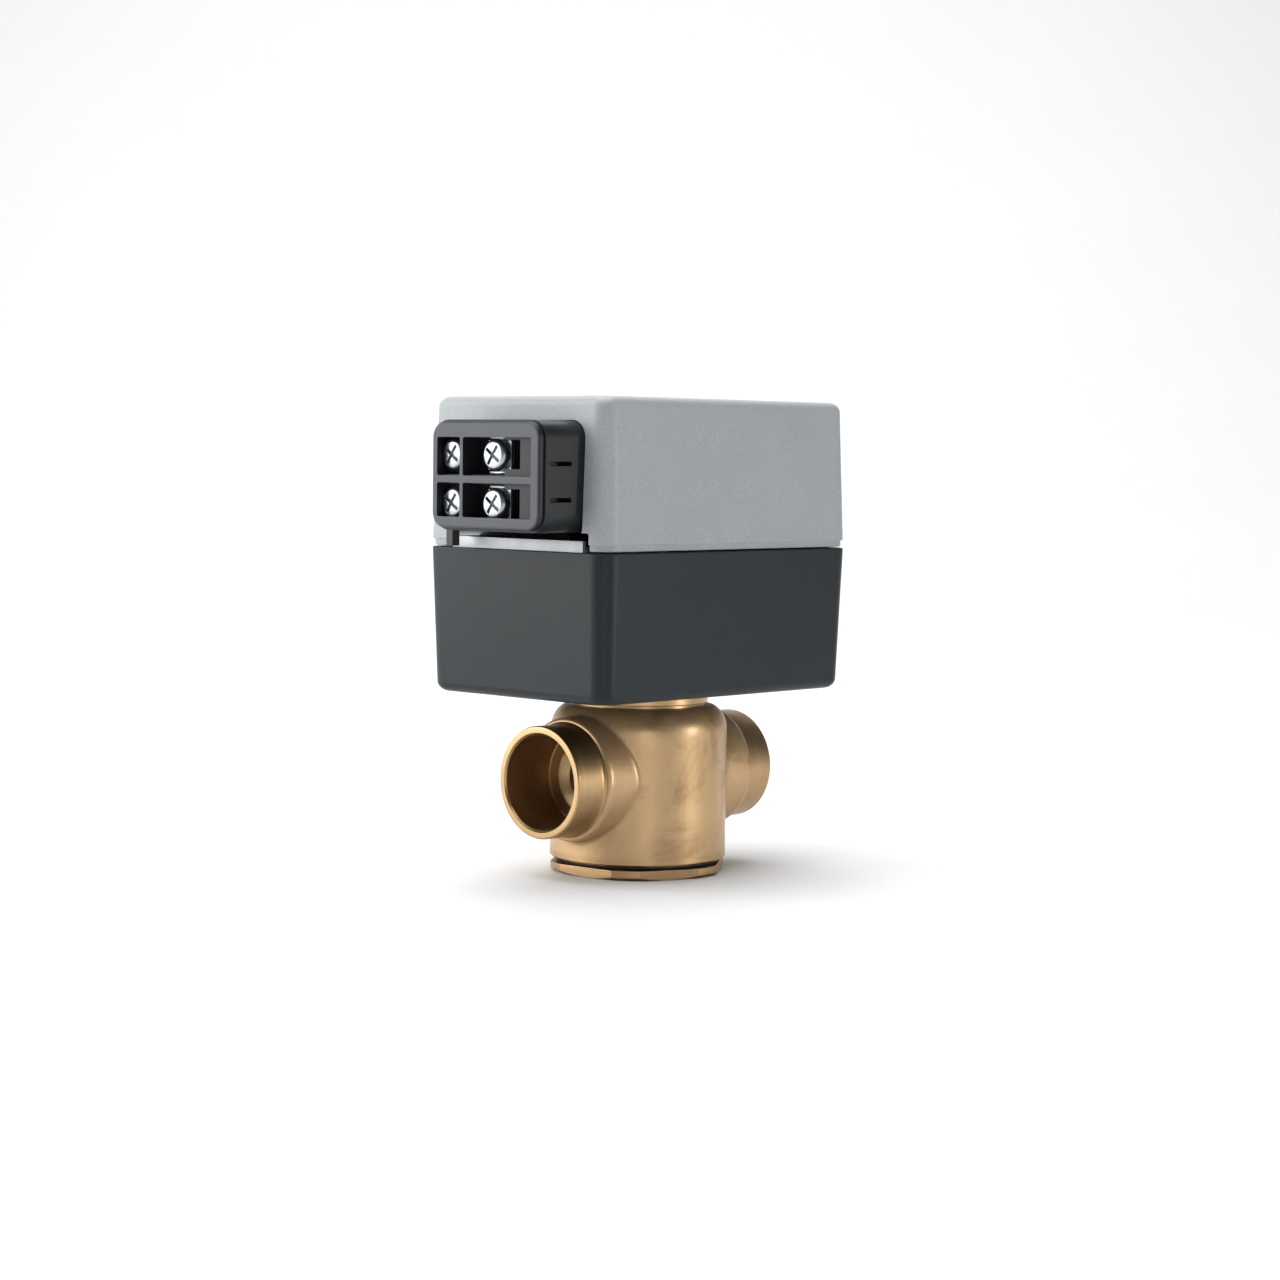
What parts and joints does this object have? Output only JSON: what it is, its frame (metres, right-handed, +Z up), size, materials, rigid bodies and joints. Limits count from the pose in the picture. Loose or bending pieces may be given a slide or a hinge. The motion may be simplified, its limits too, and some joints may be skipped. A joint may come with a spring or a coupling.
{
  "type": "zone valve",
  "caption": "Motorised heating zone valve: brass two-way body with solder sockets under a spring-return actuator with a grey cover, dark base and screw terminal block.",
  "frame": {"origin": "centre of the bottom cap's lower face, on the stem axis", "axes": "+Z up along the stem towards the actuator; +X along the pipe axis towards port B, away from the terminal block"},
  "size_m": [0.1002, 0.0582, 0.1109],
  "materials": {
    "brass_body": "forged and brushed",
    "brass_bright": "turned",
    "cover_grey": "fine grain",
    "base_slate": "fine grain",
    "block_dark": "fine grain",
    "lever_black": "satin",
    "rubber": "matte",
    "zinc_steel": "zinc plated",
    "steel": "ground",
    "nylon": "natural",
    "copper": "tinned copper",
    "red_plastic": "satin",
    "switch_black": "satin",
    "lead_blue": "PVC",
    "lead_yellow": "PVC",
    "rotor_black": "satin"
  },
  "bodies": {
    "root": {"valve_body": "brass_body", "bottom_cap": "brass_bright", "cap_o_ring": "rubber", "lower_bearing": "brass_bright", "gland_bush": "brass_bright", "gland_clip": "steel", "base_housing": "base_slate", "cover": "cover_grey", "cover_pillars": "zinc_steel", "cover_screws": "zinc_steel", "gear_plate": "zinc_steel", "plate_screws": "zinc_steel", "hub_bush": "brass_bright", "second_axle": "steel", "first_axle": "steel", "axle_clip": "steel", "rotor_bushes": "brass_bright", "motor_base": "zinc_steel", "motor_can": "zinc_steel", "motor_coil": "copper", "motor_spacers": "brass_bright", "motor_screws": "steel", "switch_body": "switch_black", "switch_terminals": "copper", "switch_screws": "steel", "terminal_block": "block_dark", "terminal_bezel": "block_dark", "terminal_clamps": "zinc_steel", "terminal_screws": "zinc_steel", "terminal_tails": "copper", "motor_leads": "lead_blue", "switch_leads": "lead_yellow", "release_spring": "steel", "return_spring": "steel"},
    "output": {"stem": "steel", "stem_o_rings": "rubber", "shoe_carrier": "steel", "shoe_seal": "rubber", "carrier_pin": "steel", "drive_hub": "nylon", "sector_gear": "steel", "lever_arm": "steel", "lever_tip": "lever_black", "hub_clip": "steel"},
    "second_wheel": {"second_gear": "nylon"},
    "first_wheel": {"first_gear": "brass_bright"},
    "motor_rotor": {"rotor": "rotor_black", "rotor_shaft": "steel", "motor_pinion": "brass_bright"},
    "plunger": {"switch_plunger": "red_plastic"},
    "release": {"latch_plate": "steel", "release_button": "red_plastic"}
  },
  "joints": [
    {"name": "valve_turn", "type": "hinge", "parent": "root", "child": "output", "pos_m": [0, 0, 0.06], "axis": [0, 0, 1], "range_deg": [0, 44], "stiffness_Nm_per_rad": 0.12, "deforming": ["return_spring"]},
    {"name": "second_wheel_turn", "type": "hinge", "parent": "root", "child": "second_wheel", "pos_m": [0.022, 0.01145, 0.06], "axis": [0, 0, 1], "range_deg": [-184.3, 0]},
    {"name": "first_wheel_turn", "type": "hinge", "parent": "root", "child": "first_wheel", "pos_m": [0.02705, -0.00331, 0.068], "axis": [0, 0, 1], "range_deg": [0, 613.1]},
    {"name": "rotor_turn", "type": "hinge", "parent": "root", "child": "motor_rotor", "pos_m": [0.015, 0, 0.09], "axis": [0, 0, 1], "range_deg": [-2450.4, 0]},
    {"name": "plunger_slide", "type": "slide", "parent": "root", "child": "plunger", "axis": [0, -1, 0], "range_m": [0, 0.00125]},
    {"name": "release_slide", "type": "slide", "parent": "root", "child": "release", "axis": [-1, 0, 0], "range_m": [0, 0.0032], "stiffness_N_per_m": 900, "springref_m": -0.001, "deforming": ["release_spring"]}
  ],
  "couplings": [
    {"joint": "second_wheel_turn", "follows": "valve_turn", "ratio": -4.1667},
    {"joint": "first_wheel_turn", "follows": "valve_turn", "ratio": 13.889},
    {"joint": "rotor_turn", "follows": "valve_turn", "ratio": -55.556},
    {"joint": "plunger_slide", "follows": "valve_turn", "m_per_rad": 0.0015626}
  ]
}
